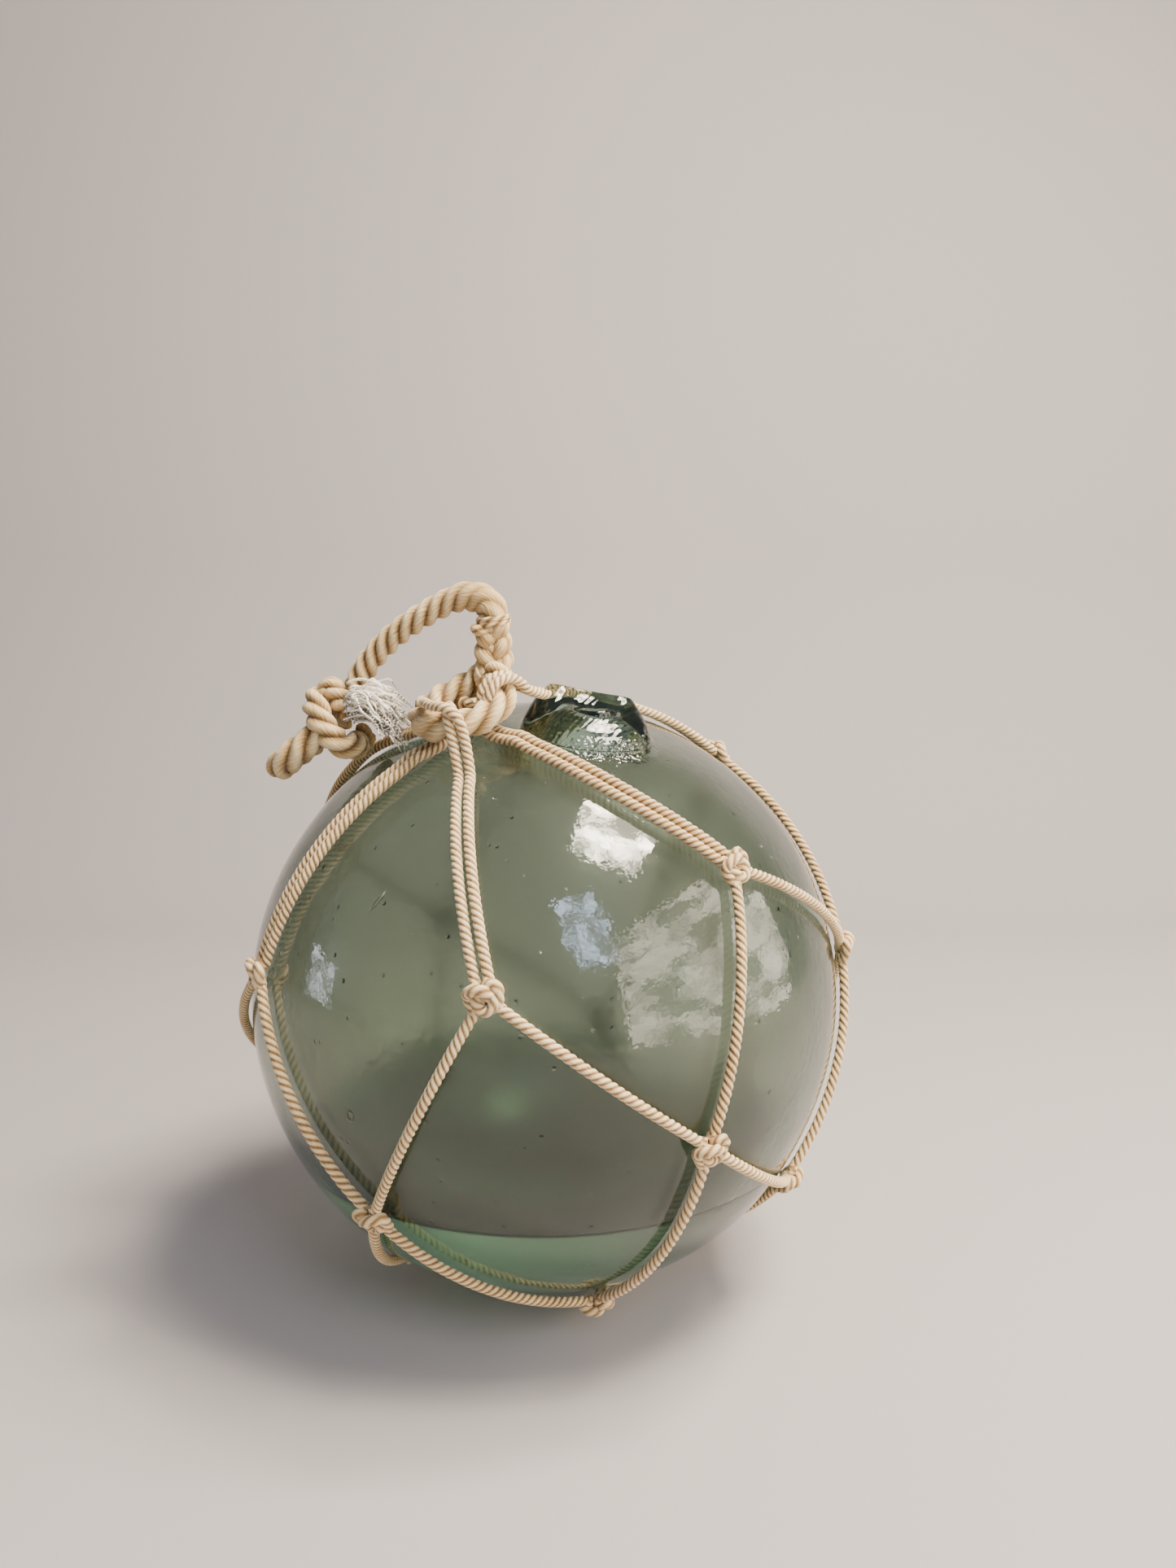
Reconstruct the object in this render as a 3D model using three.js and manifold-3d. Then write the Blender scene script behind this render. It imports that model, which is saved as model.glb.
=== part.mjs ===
// Glass fishing float in its knotted twine net, with an eye-spliced rope handle. Millimetres, +Z up.
// The float stands on the flattened underside of its net, with the ball's centre above the origin.
import * as THREE from "three";
import { mergeVertices } from "three/addons/utils/BufferGeometryUtils.js";
import Module from "manifold-3d";

const wasm = await Module();
wasm.setup();

// Driving dimensions
const ballRadius = 75;
const ballSegments = 36;
const twineDiameter = 2.6;
const twineClearance = 0.75; // between the glass and the twine on it
const standHeight = 1.4; // of the glass over the surface that the flattened net stands on
const ropeDiameter = 7;
const drawnDiameter = 6.4; // of the rope where it is pulled tight, past the splice
const ropeClearance = 1.05; // between the rope and the twine looped round it
const pieceGap = 0.3; // between two lengths of the rope
const twineSides = 5;

// The fused glass seal: where it sits, in degrees, and its size
const sealBearing = 25;
const sealElevation = 69.2;
const sealRadius = 14.6;
const sealHeight = 6.4;
const sealCrest = 3; // how much higher its broken back edge stands
const sealRoot = 4; // how far it is sunk in the ball
const sealSides = 22;

// The net: six columns of meshes about an axis that leans to the front left
const columns = 6;
const netBearing = -46.3;
const netElevation = 69.5;
const netTurn = -46.6; // of the first column about the net's axis
const rowPolar = { upper: 58.9, middle: 95.4, lower: 132.1 };
const ringPolar = 170; // where the lowest loops are drawn together on a cord ring
const ringTurn = 6; // twist of the gathered loops past the middle of their meshes
const knotWidth = 7.6;
const knotHeight = 4.4;
const knotInset = 2.3; // from a knot's middle to the ends of the cords that meet in it
const legSpread = 3.1; // between the two cords of a leg where they reach the rope
// How far each hand-tied knot sits from its regular place: [polar, turn], in degrees
const drift = {
  upper: [[-0.3, 1.3], [-0.6, -2.5], [0, 0], [1.2, 2], [-1, -1.5], [-0.7, 2.5]],
  middle: [[-0.7, -1], [-2, -2.4], [1, 1.5], [-1.2, 0], [0.8, -2], [0.2, 0.4]],
  lower: [[2.4, 0], [-3, -3], [0.5, 1], [-0.8, -1.2], [1, 0], [0.4, 0.8]],
};

// The rope eye lies on the net's top. Its centre's direction, and its route about that centre in
// diameters of the rope: [to the right, away, up off the ball]
const eyeBearing = -33;
const eyeElevation = 66.5;
const eyeRoute = [
  [0.86, 1.24, 0.55], [0.4, 1.38, 0.25], [-0.3, 1.26, 0.1], [-1.0, 0.82, 0.03], [-1.4, 0.1, 0],
  [-1.2, -0.7, -0.03], [-0.55, -1.24, -0.05], [0.28, -1.35, -0.04], [1.0, -0.98, 0.03],
  [1.38, -0.3, 0.13], [1.34, 0.42, 0.32], [1.1, 1.0, 0.6],
];
// Where each leg of the net is looped round the eye, as a share of the eye's length. Both cords of
// the front one cross over the rope, and the third leg goes behind the seal to the throat of the eye.
const legLoops = [
  { at: 0.59, bothOver: true }, { at: 0.715 }, { at: 0.94, behindSeal: true, slack: 1.18 },
  { at: 0.14 }, { at: 0.27 }, { at: 0.42 },
];

// The splice stands up from the throat of the eye, and the rope bends over from it to the end knot.
// Its points are hand-chosen places about the middle of the eye: right, away, up.
const spliceFoot = [6.5, 7.6, 3.7];
const spliceLength = 16.4;
const spliceWaist = 1.16; // radii of the splice, in radii of the rope
const spliceBelly = 1.36;
const handleRise = 1.1; // straight stretch out of the splice
const handleRoute = [
  [5.6, 8.2, 23.5], [3.1, 9.6, 25.0], [-0.6, 10.6, 25.4], [-4.4, 11.6, 24.3], [-8.5, 12.6, 22.3],
  [-12.6, 13.6, 20.0], [-16.6, 15.0, 17.4], [-20.2, 16.1, 14.5], [-23.4, 17.0, 11.4],
  [-26.1, 17.6, 8.0], [-28.2, 18.0, 4.3],
];
// The end knot: its standing part, the loop that it leaves out to the side, the turn round both,
// and the tucked end that opens in a tuft
const knotStanding = [[-30.9, 18.8, -0.3], [-33.7, 20.8, -4.7]];
const knotLoop = [
  [-32.7, 22.4, -5.1], [-38.3, 23.6, -8.7], [-43.7, 22.0, -12.8], [-47.5, 17.6, -16.1],
  [-44.9, 13.0, -14.1], [-39.3, 11.6, -9.7], [-33.5, 12.4, -6.1],
];
const knotTurn = [
  [-36.7, 21.6, 1.3], [-37.7, 15.4, -0.1], [-35.7, 10.6, -4.7], [-31.7, 10.0, -9.3],
  [-27.9, 14.6, -10.7], [-27.3, 20.0, -8.5],
];
const knotTuck = [[-37.0, 21.8, 0.5], [-35.3, 20.0, 2.9], [-32.3, 16.0, 0.9], [-28.9, 13.6, -1.9]];
const tuftCentre = [-22.5, 12.2, -1.1];
const tuftRadii = [8.2, 5.6, 5.8];

const glassGreen = new THREE.MeshStandardMaterial({
  color: 0xa9c4b4,
  roughness: 0.08,
  metalness: 0,
  transparent: true,
  opacity: 0.45,
});
const twineCotton = new THREE.MeshStandardMaterial({ color: 0xd2ba96, roughness: 0.9, metalness: 0 });
const ropeCotton = new THREE.MeshStandardMaterial({ color: 0xcbb48c, roughness: 0.92, metalness: 0 });

const twineRadius = twineDiameter / 2;
const ropeRadius = ropeDiameter / 2;
const drawnRadius = drawnDiameter / 2;
const cordCentre = ballRadius + twineClearance + twineRadius;
const ballHeight = ballRadius + standHeight;
const eyeCentreRadius = cordCentre + twineRadius + ropeClearance + ropeRadius;

const vector = ([x, y, z]) => new THREE.Vector3(x, y, z);
const radians = THREE.MathUtils.degToRad;

// A direction from its bearing, clockwise from the front, and its elevation, in degrees.
function direction(bearing, elevation) {
  const flat = Math.cos(radians(elevation));
  return new THREE.Vector3(
    flat * Math.sin(radians(bearing)),
    -flat * Math.cos(radians(bearing)),
    Math.sin(radians(elevation)),
  );
}

const netAxis = direction(netBearing, netElevation);
const netSide = new THREE.Vector3(0, 0, 1).cross(netAxis).normalize();
const netBack = netAxis.clone().cross(netSide);

// The direction of a place on the net, from its angle off the net's axis and its turn about it.
function netDirection(polar, turn) {
  const round = netSide
    .clone()
    .multiplyScalar(Math.cos(radians(turn)))
    .addScaledVector(netBack, Math.sin(radians(turn)));
  return netAxis
    .clone()
    .multiplyScalar(Math.cos(radians(polar)))
    .addScaledVector(round, Math.sin(radians(polar)));
}

function solidOf(geometry) {
  const bare = geometry.index ? geometry.toNonIndexed() : geometry.clone();
  bare.deleteAttribute("normal");
  bare.deleteAttribute("uv");
  const merged = mergeVertices(bare, 1e-4);
  return new wasm.Manifold(
    new wasm.Mesh({
      numProp: 3,
      vertProperties: merged.attributes.position.array,
      triVerts: new Uint32Array(merged.index.array),
    }),
  );
}

function meshOf(solid, name, material) {
  const found = solid.getMesh();
  const geometry = new THREE.BufferGeometry();
  geometry.setAttribute("position", new THREE.BufferAttribute(new Float32Array(found.vertProperties), 3));
  geometry.setIndex(new THREE.BufferAttribute(new Uint32Array(found.triVerts), 1));
  const mesh = new THREE.Mesh(geometry, material);
  mesh.name = name;
  return mesh;
}

const joined = (solids) => solids.reduce((whole, one) => whole.add(one));

// The regular outline of a round cord, with corners just outside its radius so that its area is true.
function roundSection(radius, sides) {
  const corner = radius * Math.sqrt((2 * Math.PI) / sides / Math.sin((2 * Math.PI) / sides));
  const points = Array.from({ length: sides }, (_, i) => {
    const angle = (2 * Math.PI * i) / sides;
    return new THREE.Vector2(corner * Math.cos(angle), corner * Math.sin(angle));
  });
  return new THREE.Shape(points);
}

function tube(curve, radius, sides, steps) {
  return new THREE.ExtrudeGeometry(roundSection(radius, sides), {
    steps,
    bevelEnabled: false,
    extrudePath: curve,
  });
}

const smooth = (points) => new THREE.CatmullRomCurve3(points, false, "centripetal");

// A cord drawn tight over the ball, the shortest way from one direction to another.
class TightCurve extends THREE.Curve {
  constructor(from, to, radius) {
    super();
    Object.assign(this, { from, to, radius, angle: from.angleTo(to) });
  }

  getPoint(t, target = new THREE.Vector3()) {
    const { from, to, radius, angle } = this;
    return target
      .copy(from)
      .multiplyScalar(Math.sin((1 - t) * angle))
      .addScaledVector(to, Math.sin(t * angle))
      .multiplyScalar(radius / Math.sin(angle));
  }
}

// Geometry made about the Z axis, stood on a direction at a distance from the ball's centre.
function placedOn(geometry, up, distance, turn = 0) {
  const place = new THREE.Matrix4()
    .makeTranslation(up.x * distance, up.y * distance, up.z * distance)
    .multiply(
      new THREE.Matrix4().makeRotationFromQuaternion(
        new THREE.Quaternion().setFromUnitVectors(new THREE.Vector3(0, 0, 1), up),
      ),
    )
    .multiply(new THREE.Matrix4().makeRotationZ(turn));
  return geometry.applyMatrix4(place);
}

// The gob of glass that closes the blowing hole: a thick rolled rim round a sunken middle, with one
// side of the rim broken off higher.
function sealGeometry() {
  const profile = [
    [0, -sealRoot],
    [0.98 * sealRadius, -sealRoot],
    [sealRadius, 0],
    [0.97 * sealRadius, 0.45 * sealHeight],
    [0.87 * sealRadius, 0.86 * sealHeight],
    [0.72 * sealRadius, sealHeight],
    [0.54 * sealRadius, 0.88 * sealHeight],
    [0.34 * sealRadius, 0.68 * sealHeight],
    [0, 0.62 * sealHeight],
  ].map(([r, h]) => new THREE.Vector2(r, h));
  const gob = new THREE.LatheGeometry(profile, sealSides).rotateX(Math.PI / 2);
  const place = gob.getAttribute("position");
  for (let i = 0; i < place.count; i++) {
    const [x, y, h] = [place.getX(i), place.getY(i), place.getZ(i)];
    const out = Math.hypot(x, y) / sealRadius;
    const round = Math.atan2(y, x);
    const broken = Math.max(0, Math.sin(round - 0.3)) ** 1.5 * (0.75 + 0.25 * Math.sin(5 * round));
    const raised = h > 0 ? (sealCrest * broken * out * h) / sealHeight : 0;
    place.setZ(i, h + raised);
    place.setX(i, x * (1 + 0.05 * Math.cos(2 * round)));
    place.setY(i, y * (1 - 0.06 * Math.cos(2 * round) + 0.02 * Math.cos(3 * round)));
  }
  return gob;
}

function glassFloat() {
  const ball = new THREE.SphereGeometry(ballRadius, ballSegments, ballSegments / 2).rotateX(Math.PI / 2);
  const seal = placedOn(sealGeometry(), direction(sealBearing, sealElevation), ballRadius);
  return solidOf(ball).add(solidOf(seal));
}

// The centre line of the rope eye, about the ball's centre.
const eyeUp = direction(eyeBearing, eyeElevation);
const eyeRight = new THREE.Vector3(1, 0, 0).addScaledVector(eyeUp, -eyeUp.x).normalize();
const eyeAway = eyeUp.clone().cross(eyeRight);
const eyeCentre = eyeUp.clone().multiplyScalar(eyeCentreRadius);
const eyeCurve = smooth(
  eyeRoute.map(([right, away, up]) =>
    eyeCentre
      .clone()
      .addScaledVector(eyeRight, right * ropeDiameter)
      .addScaledVector(eyeAway, away * ropeDiameter)
      .addScaledVector(eyeUp, up * ropeDiameter),
  ),
);
const splice = vector(spliceFoot).add(eyeCentre);

// Directions of a row's knots.
const rowDirections = (row, shift) =>
  drift[row].map(([polar, turn], column) =>
    netDirection(rowPolar[row] + polar, netTurn + ((column + shift) * 360) / columns + turn),
  );

// A netting knot: a turn of twine drawn down round the ends of the cords that meet in it.
function knotGeometry(up) {
  const rise = (knotHeight - twineDiameter) / 2;
  const turn = new THREE.TorusGeometry(knotInset, knotWidth / 2 - knotInset, twineSides, 7);
  return placedOn(turn.scale(1, 0.92, 1), up, cordCentre + rise);
}

// The loop of a leg round the rope eye: points in the rope's own cross section, outwards, up off the
// ball and to the side.
function eyeLoop(knot, { at, bothOver, behindSeal, slack = 1 }) {
  const centre = eyeCurve.getPointAt(at);
  const up = centre.clone().normalize();
  const out = eyeCurve.getTangentAt(at).cross(up).normalize();
  if (out.dot(knot) < 0) out.negate();
  const side = up.clone().cross(out).normalize();
  const reach = slack * (ropeRadius + ropeClearance + twineRadius);
  const low = Math.max(-1, (cordCentre - centre.length()) / reach);
  const leaving = behindSeal ? 0.6 * low : low;
  const round = bothOver
    ? [[1.3, -0.45, 1], [0.86, 0.55, 1], [0, 1.02, 1], [-0.86, 0.52, 0.9], [-1.05, -0.3, 0],
       [-0.86, 0.52, -0.9], [0, 1.02, -1], [0.86, 0.55, -1], [1.3, -0.45, -1]]
    : [[1.3, -0.45, 1], [0.86, 0.55, 0.9], [0, 1.02, 0.6], [-0.86, 0.52, 0.2], [-0.98, -0.42, -0.3],
       [-0.3, low, -0.8], [1.0, leaving, -1]];
  return round.map(([o, u, s]) =>
    centre
      .clone()
      .addScaledVector(out, o * reach)
      .addScaledVector(up, u * reach)
      .addScaledVector(side, (s * legSpread) / 2),
  );
}

// The places that a cord of a leg passes between its knot and its loop: over the ball the shortest
// way, or round the back of the seal.
function legPath(knot, end, behindSeal, outside) {
  const foot = end.clone().normalize();
  const seal = direction(sealBearing, sealElevation);
  const back = foot.clone().cross(knot).normalize();
  const clear = (sealRadius + 1.6 * twineDiameter + (outside ? 1.1 * twineDiameter : 0)) / ballRadius;
  const past = seal.multiplyScalar(Math.cos(clear)).addScaledVector(back, Math.sin(clear)).normalize();
  const stretch = (from, to) => new TightCurve(from, to, cordCentre).getPoints(5).slice(0, -1);
  return behindSeal ? [...stretch(knot, past), past.multiplyScalar(cordCentre)] : stretch(knot, foot);
}

// A leg of the net: a doubled cord from an upper knot to the rope, where it is looped round.
function legSolid(knot, loop) {
  const points = eyeLoop(knot, loop);
  const ends = [points[0], points.at(-1)];
  const side = ends[0].clone().sub(ends[1]).projectOnPlane(knot).normalize();
  const [first, last] = ends.map((end, i) => {
    const start = knot.clone().addScaledVector(side, ((i ? -0.55 : 0.55) * twineDiameter) / ballRadius);
    const toward = end.clone().projectOnPlane(knot).normalize();
    start.addScaledVector(toward, knotInset / ballRadius).normalize();
    return legPath(start, end, loop.behindSeal, i === 1);
  });
  return solidOf(tube(smooth([...first, ...points, ...last.reverse()]), twineRadius, twineSides, 26));
}

function netSolid() {
  const upper = rowDirections("upper", 0);
  const middle = rowDirections("middle", 0.5);
  const lower = rowDirections("lower", 0);
  const ringRadius = cordCentre * Math.sin(radians(180 - ringPolar));
  const gatheredSpread = THREE.MathUtils.radToDeg((0.6 * twineDiameter) / ringRadius);
  const gathered = (column, side) =>
    netDirection(ringPolar, netTurn + ringTurn + ((column + 0.5) * 360) / columns + side * gatheredSpread);
  const inset = (from, to) => new TightCurve(from, to, 1).getPoint(knotInset / cordCentre / from.angleTo(to));
  const cord = (from, to) => solidOf(tube(new TightCurve(from, to, cordCentre), twineRadius, twineSides, 3));
  const between = (from, to) => cord(inset(from, to), inset(to, from));
  const cords = upper.flatMap((_, column) => {
    const before = (column + columns - 1) % columns;
    return [
      between(upper[column], middle[column]),
      between(upper[column], middle[before]),
      between(lower[column], middle[column]),
      between(lower[column], middle[before]),
      cord(inset(lower[column], gathered(column, -1)), gathered(column, -1)),
      cord(inset(lower[column], gathered(before, 1)), gathered(before, 1)),
    ];
  });
  const knots = [...upper, ...middle, ...lower].map((up) => solidOf(knotGeometry(up)));
  const legs = upper.map((knot, column) => legSolid(knot, legLoops[column]));
  const ring = placedOn(
    new THREE.TorusGeometry(ringRadius, twineRadius, twineSides, 14),
    netAxis.clone().negate(),
    cordCentre * Math.cos(radians(180 - ringPolar)),
  );
  const whole = joined([...cords, ...knots, ...legs, solidOf(ring)]);
  // The ball's weight presses the twine under it flat.
  const floorWidth = 2 * ballRadius;
  const floor = new THREE.BoxGeometry(floorWidth, floorWidth, floorWidth);
  return whole.subtract(solidOf(floor.translate(0, 0, -ballHeight - ballRadius)));
}

function ropeEyeSolid() {
  const eye = solidOf(tube(eyeCurve, ropeRadius, 8, 22));
  const belly = [
    [0, 0],
    [spliceWaist, 0],
    [spliceBelly, 0.3],
    [spliceBelly, 0.55],
    [spliceWaist, 0.8],
    [1.02, 1],
    [0, 1],
  ].map(([r, h]) => new THREE.Vector2(r * ropeRadius, h * spliceLength));
  const body = new THREE.LatheGeometry(belly, 10).rotateX(Math.PI / 2);
  return eye.add(solidOf(body.translate(splice.x, splice.y, splice.z)));
}

// The free stretch of the rope, from just over the splice to the end knot.
const placed = (route) => route.map((point) => vector(point).add(eyeCentre));
const handleStart = splice.clone().setZ(splice.z + spliceLength + pieceGap);
const handlePoints = [handleStart, handleStart.clone().setZ(handleStart.z + handleRise), ...placed(handleRoute)];
const handleEnd = handlePoints.at(-1);
const handleHeading = handleEnd.clone().sub(handlePoints.at(-2)).normalize();

function endKnotSolid() {
  const length = (points, steps) => solidOf(tube(smooth(points), drawnRadius, 8, steps));
  const standingStart = handleEnd.clone().addScaledVector(handleHeading, pieceGap);
  const [tuftPlace] = placed([tuftCentre]);
  const tuft = new THREE.SphereGeometry(1, 8, 5).rotateY(0.5).scale(...tuftRadii);
  return joined([
    length([standingStart, ...placed(knotStanding)], 3),
    length(placed(knotLoop), 9),
    length(placed(knotTurn), 7),
    length(placed(knotTuck), 5),
    solidOf(tuft.translate(tuftPlace.x, tuftPlace.y, tuftPlace.z)),
  ]);
}

const float = new THREE.Group();
const aboutBall = new THREE.Group();
aboutBall.position.z = ballHeight;
float.add(aboutBall);

const handle = new THREE.Mesh(tube(smooth(handlePoints), drawnRadius, 8, 16), ropeCotton);
handle.name = "rope_handle";
aboutBall.add(
  meshOf(glassFloat(), "glass_float", glassGreen),
  meshOf(netSolid(), "net", twineCotton),
  meshOf(ropeEyeSolid(), "rope_eye", ropeCotton),
  handle,
  meshOf(endKnotSolid(), "rope_end_knot", ropeCotton),
);

export default float;
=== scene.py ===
import math

import bpy
import numpy as np
from mathutils import Matrix, Quaternion, Vector


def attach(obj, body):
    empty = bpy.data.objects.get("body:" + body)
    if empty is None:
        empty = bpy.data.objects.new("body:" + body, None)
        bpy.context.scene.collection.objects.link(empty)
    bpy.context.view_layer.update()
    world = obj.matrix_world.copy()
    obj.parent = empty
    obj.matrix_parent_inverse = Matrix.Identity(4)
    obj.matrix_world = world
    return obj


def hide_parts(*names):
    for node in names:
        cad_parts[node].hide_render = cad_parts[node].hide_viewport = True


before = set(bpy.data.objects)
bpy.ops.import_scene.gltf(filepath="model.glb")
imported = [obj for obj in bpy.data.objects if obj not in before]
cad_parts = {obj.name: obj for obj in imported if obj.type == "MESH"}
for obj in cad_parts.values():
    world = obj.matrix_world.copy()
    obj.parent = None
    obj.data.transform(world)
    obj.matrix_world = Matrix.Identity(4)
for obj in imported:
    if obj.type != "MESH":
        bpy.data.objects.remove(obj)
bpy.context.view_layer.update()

# The place of the viewer: a little over the top of the float, 0.3 m from the ball's centre and looking
# down by 8 degrees, with a wide lens close up, so that the near side of the ball swells.
BALL_CENTRE = np.array([0.0, 0.0, 76.4])
BALL_RADIUS = 75.0
camera_data = bpy.data.cameras.new("close_view")
camera_data.lens = 27.07
camera_data.sensor_width = 36.0
camera_data.sensor_fit = "AUTO"
camera_data.clip_start = 0.01
camera = bpy.data.objects.new("close_view", camera_data)
camera.location = (0.01088, -0.30162, 0.17273)
camera.rotation_euler = (math.radians(82.0), 0.0, 0.0)
bpy.context.scene.collection.objects.link(camera)
bpy.context.scene.camera = camera


# The rope is three-strand cotton line, 7 mm thick and laid to the left. It comes up out of a splice,
# bends over and falls to its end knot. The route is the free stretch and the part that the knot grips.
ROPE_RADIUS = 3.5
DRAWN_RADIUS = 3.15
ROPE_STEP = 0.42
ROPE_COLUMNS = 60
ROPE_YARN = 1.1
HANDLE_LAY = 12.6
EYE_LAY = 17.0
KNOT_LAY = 13.5
WORN_SHARE = 0.7
EYE_DIRECTION = (-33.0, 66.5)
EYE_DISTANCE = 82.9
SPLICE_FOOT = (6.5, 7.6, 3.7)
SPLICE_LENGTH = 16.4
HANDLE_ROUTE = [
    (5.6, 8.2, 23.5), (3.1, 9.6, 25.0), (-0.6, 10.6, 25.4), (-4.4, 11.6, 24.3), (-8.5, 12.6, 22.3),
    (-12.6, 13.6, 20.0), (-16.6, 15.0, 17.4), (-20.2, 16.1, 14.5), (-23.4, 17.0, 11.4),
    (-26.1, 17.6, 8.0), (-28.2, 18.0, 4.3),
]
KNOT_STANDING = [(-30.9, 18.8, -0.3), (-33.7, 20.8, -4.7)]


def direction(bearing, elevation):
    """Unit vector from a bearing, clockwise from the front, and an elevation, both in degrees."""
    b, e = np.radians(bearing), np.radians(elevation)
    return np.array([np.cos(e) * np.sin(b), -np.cos(e) * np.cos(b), np.sin(e)])


def unit(vectors):
    """Vectors divided by their own lengths."""
    return vectors / np.linalg.norm(vectors, axis=-1, keepdims=True)


def evenly(points, spacing):
    """The same line with its points at an even distance along it, close to the spacing asked for."""
    along = np.concatenate([[0.0], np.cumsum(np.linalg.norm(np.diff(points, axis=0), axis=1))])
    stops = np.linspace(0.0, along[-1], max(3, int(round(along[-1] / spacing)) + 1))
    return np.stack([np.interp(stops, along, points[:, axis]) for axis in range(3)], axis=1)


def smooth(points, spacing):
    """Catmull-Rom curve through the points, with knots spaced by the root of the distance between them.

    Each span is the cubic that has the points' places and slopes at its ends.
    """
    p = np.asarray(points, float)
    p = np.vstack([2 * p[0] - p[1], p, 2 * p[-1] - p[-2]])
    p0, p1, p2, p3 = p[:-3], p[1:-2], p[2:-1], p[3:]
    d0, d1, d2 = (np.sqrt(np.linalg.norm(b - a, axis=1))[:, None] for a, b in ((p0, p1), (p1, p2), (p2, p3)))
    m1 = ((p1 - p0) / d0 - (p2 - p0) / (d0 + d1) + (p2 - p1) / d1) * d1
    m2 = ((p2 - p1) / d1 - (p3 - p1) / (d1 + d2) + (p3 - p2) / d2) * d1
    t = np.linspace(0.0, 1.0, 32, endpoint=False)[None, :, None]
    spans = (
        (2 * t**3 - 3 * t**2 + 1) * p1[:, None]
        + (t**3 - 2 * t**2 + t) * m1[:, None]
        + (3 * t**2 - 2 * t**3) * p2[:, None]
        + (t**3 - t**2) * m2[:, None]
    )
    return evenly(np.vstack([spans.reshape(-1, 3), p2[-1:]]), spacing)


def worn_stretch(path, place, reach):
    """Wear along a path, about a place given as a share of it: exp(-((share - place) / reach)^2)."""
    return np.exp(-(((np.linspace(0.0, 1.0, len(path)) - place) / reach) ** 2))


def outline(angles, strands, fullness):
    """Radius of the outline of round strands that lie about a centre and touch its outer circle.

    A strand of radius a, at 1 - a from the centre, reaches (1 - a) cos x + sqrt(a^2 - (1 - a)^2 sin^2 x)
    at an angle x off its own middle.
    """
    share = 2 * np.pi / strands
    x = (angles + share / 2) % share - share / 2
    far = 1 - fullness
    return far * np.cos(x) + np.sqrt(fullness**2 - (far * np.sin(x)) ** 2)


def laid_cord(path, up, radius, lay, strands=3, columns=24, fullness=0.56, wear=0.0, start=0.0, yarns=0.0):
    """Strands laid to the left about a path: vertices, quads, end triangles, corner UV and depth.

    At distance s and angle q the surface lies r(q) (n cos w + b sin w) off the path, where n and b are
    square to it, r is the strands' outline and w = q - 2 pi s / lay. Wear blends the outline to a circle,
    and yarns of a given width in mm stand up along the path as low ridges.
    """
    count = len(path)
    tangent = unit(np.gradient(path, axis=0))
    normal = unit(up - (up * tangent).sum(-1, keepdims=True) * tangent)
    across = np.cross(tangent, normal)
    s = np.concatenate([[0.0], np.cumsum(np.linalg.norm(np.diff(path, axis=0), axis=1))])
    q = 2 * np.pi * (np.arange(columns) + 0.5) / columns + np.pi / strands
    shape = outline(q, strands, fullness)
    wear = np.broadcast_to(wear, (count,))[:, None]
    size = np.broadcast_to(radius, (count,))[:, None]
    reach = size * (shape[None] * (1 - wear) + 0.94 * wear)
    turn = q[None] - 2 * np.pi * s[:, None] / lay + start
    ridge = np.zeros_like(turn)
    if yarns:
        ridge = np.cos(2 * np.pi * (turn * size / yarns + 0.35 * np.sin(s[:, None] / 3.1 + 2 * q[None])))
        reach = reach + 0.09 * yarns * ridge
    body = path[:, None] + reach[..., None] * (
        normal[:, None] * np.cos(turn)[..., None] + across[:, None] * np.sin(turn)[..., None]
    )
    i, j = (a.ravel() for a in np.meshgrid(np.arange(count - 1), np.arange(columns), indexing="ij"))
    k = (j + 1) % columns
    quads = np.stack([i * columns + j, i * columns + k, (i + 1) * columns + k, (i + 1) * columns + j], axis=1)
    ring = np.arange(columns)
    first, last = count * columns, count * columns + 1
    ends = np.vstack([
        np.stack([np.full(columns, first), (ring + 1) % columns, ring], axis=1),
        np.stack([np.full(columns, last), (count - 1) * columns + ring,
                  (count - 1) * columns + (ring + 1) % columns], axis=1),
    ])
    mean = float(np.mean(radius))
    uv = np.stack([
        np.stack([s[row], mean * (2 * np.pi * column / columns - 2 * np.pi * s[row] / lay)], axis=1)
        for row, column in ((i, j), (i, j + 1), (i + 1, j + 1), (i + 1, j))
    ], axis=1)
    # Depth is 0 in the grooves, 1 on the crowns and lower between yarns; the cotton paints its groove shade
    # from it.
    low = shape.min()
    depth = (shape[None] - low) / (1 - low) * (1 - wear) + 0.55 * wear + 0.16 * ridge
    return {
        "verts": np.vstack([body.reshape(-1, 3), path[:1], path[-1:]]),
        "quads": quads,
        "tris": ends,
        "uv": uv.reshape(-1, 2),
        "depth": np.concatenate([depth.ravel(), [0.0, 0.0]]),
    }


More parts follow.
